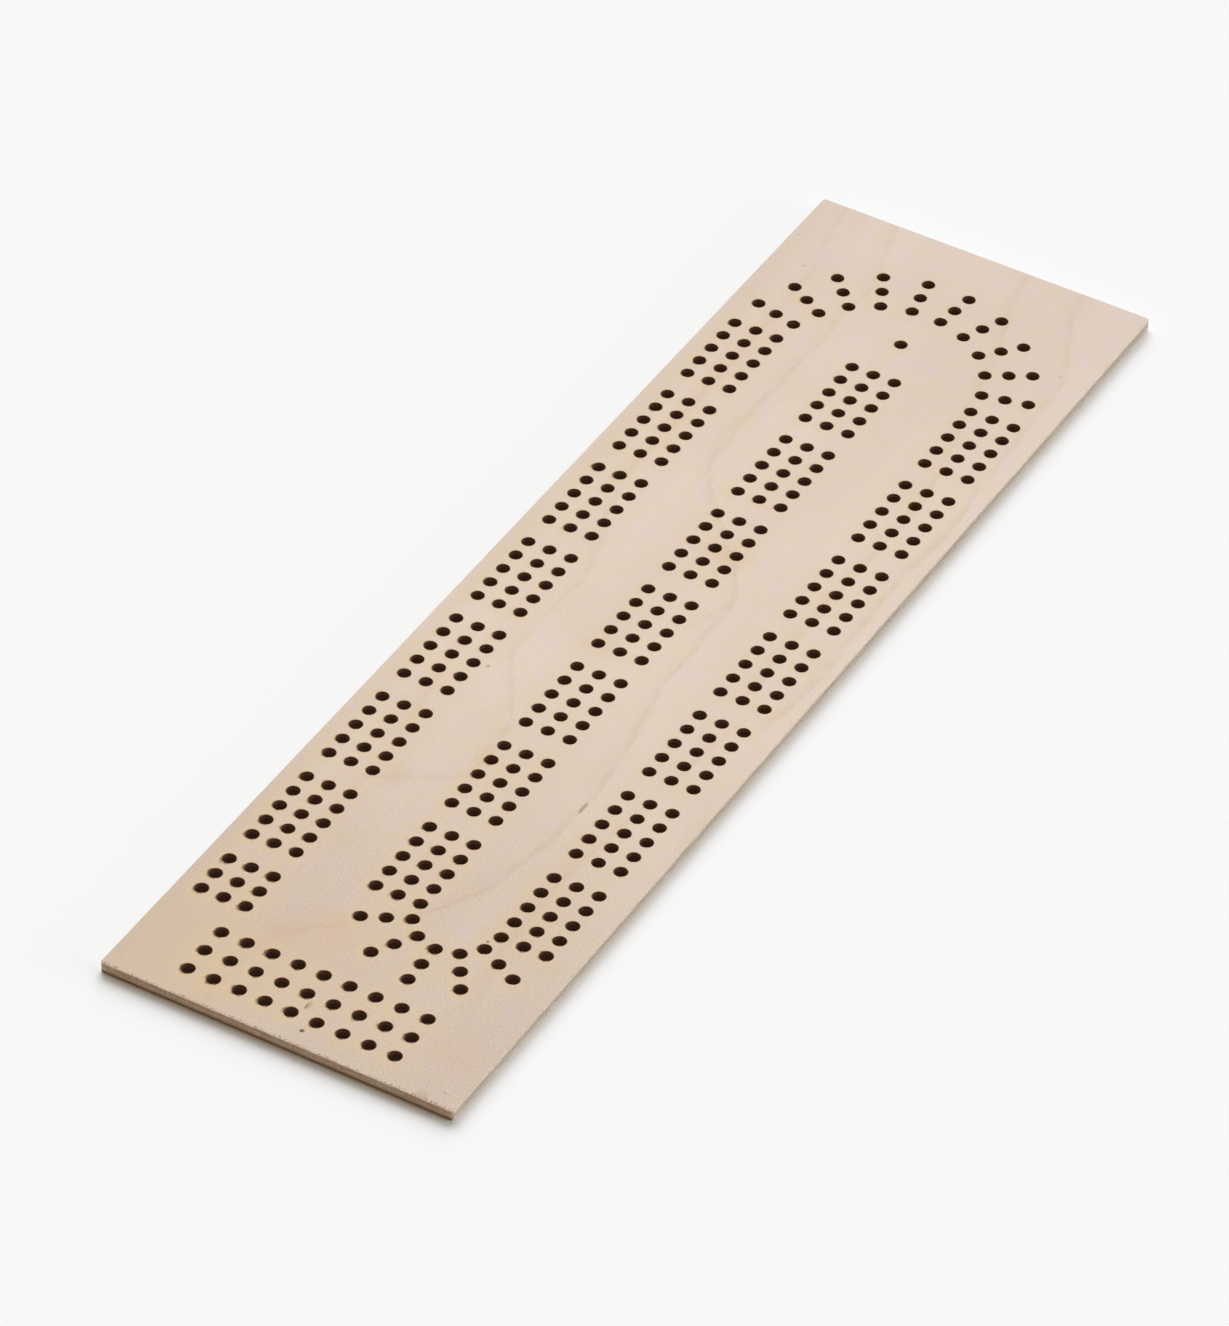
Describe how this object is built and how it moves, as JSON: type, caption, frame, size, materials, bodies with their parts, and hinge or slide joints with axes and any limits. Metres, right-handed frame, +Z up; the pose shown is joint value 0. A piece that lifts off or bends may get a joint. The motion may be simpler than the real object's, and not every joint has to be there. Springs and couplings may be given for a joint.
{
  "type": "cribbage board",
  "caption": "Flat plywood cribbage board: a thin three-ply panel pierced by peg holes in three parallel scoring tracks, with start holes, a finish hole and a game counter.",
  "frame": {"origin": "centre of the rectangular panel on its underside, the face it lies on", "axes": "+X across the board, with the start rows on the -X side; +Y along the board, from the start and game counter end to the finish end; +Z up, out of the playing face"},
  "size_m": [0.0996, 0.361, 0.003],
  "materials": {
    "back_veneer": "bare birch veneer, grain along the board",
    "core_veneer": "bare birch veneer, grain across the board, edge darkened by the laser",
    "face_veneer": "bare sanded birch veneer, grain along the board, tan scorch round each peg hole"
  },
  "bodies": {
    "root": {"back_veneer": "back_veneer", "core_veneer": "core_veneer", "face_veneer": "face_veneer"}
  },
  "joints": []
}
